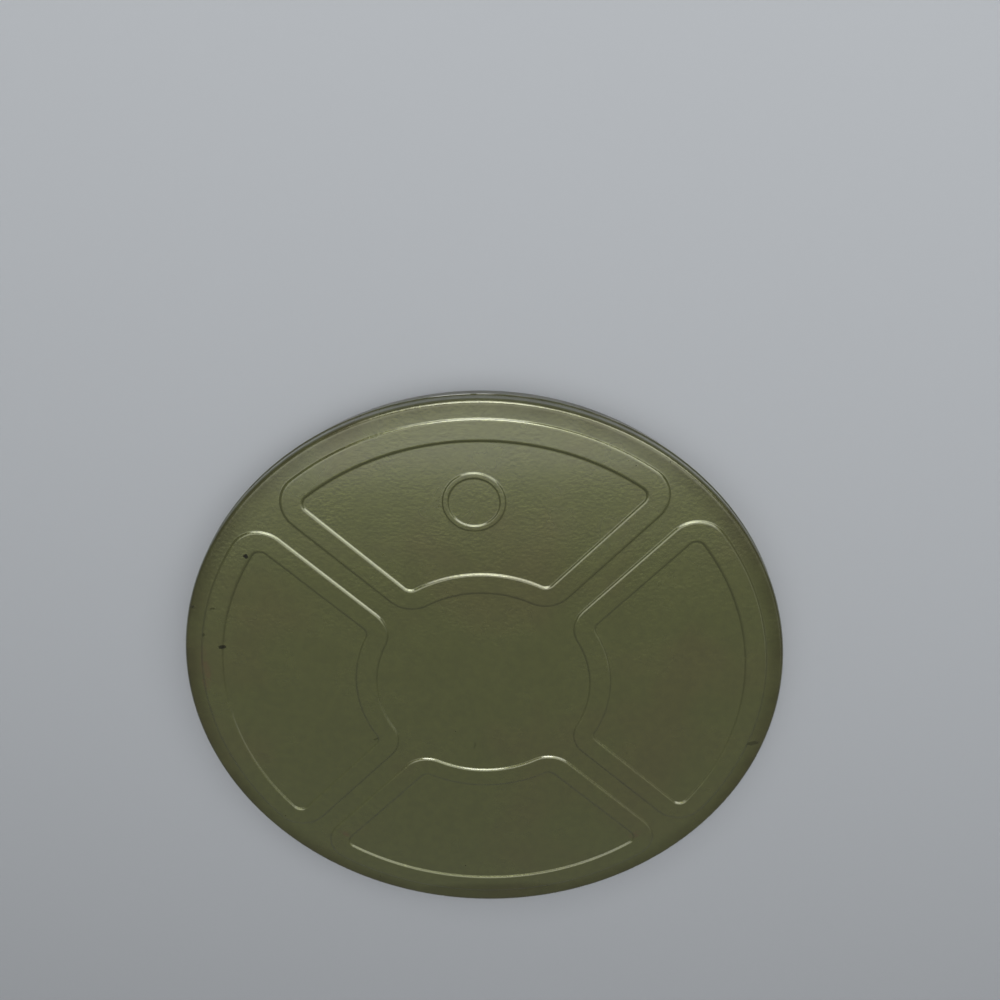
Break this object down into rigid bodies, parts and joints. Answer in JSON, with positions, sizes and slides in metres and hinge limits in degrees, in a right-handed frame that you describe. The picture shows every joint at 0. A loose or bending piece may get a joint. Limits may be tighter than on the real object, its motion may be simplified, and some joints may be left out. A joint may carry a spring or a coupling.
{
  "type": "film reel can",
  "caption": "Round flat slip-lid can of pressed steel that stores a film reel, its faces stiffened by raised keystone-shaped beads.",
  "frame": {"origin": "centre of the can at the level of the tops of the base's beads, on which it lies", "axes": "+Z along the can's axis, out through the lid's face; +Y towards the pocket of the lid that holds the roundel"},
  "size_m": [0.1876, 0.1876, 0.015],
  "materials": {
    "olive_lacquer": "semi-gloss olive-gold lacquer on tinned steel sheet"
  },
  "bodies": {
    "base": {"base": "olive_lacquer"},
    "lid": {"lid": "olive_lacquer"}
  },
  "joints": [
    {"name": "lid_lift", "type": "slide", "parent": "base", "child": "lid", "axis": [0, 0, 1], "range_m": [0, 0.06]}
  ]
}
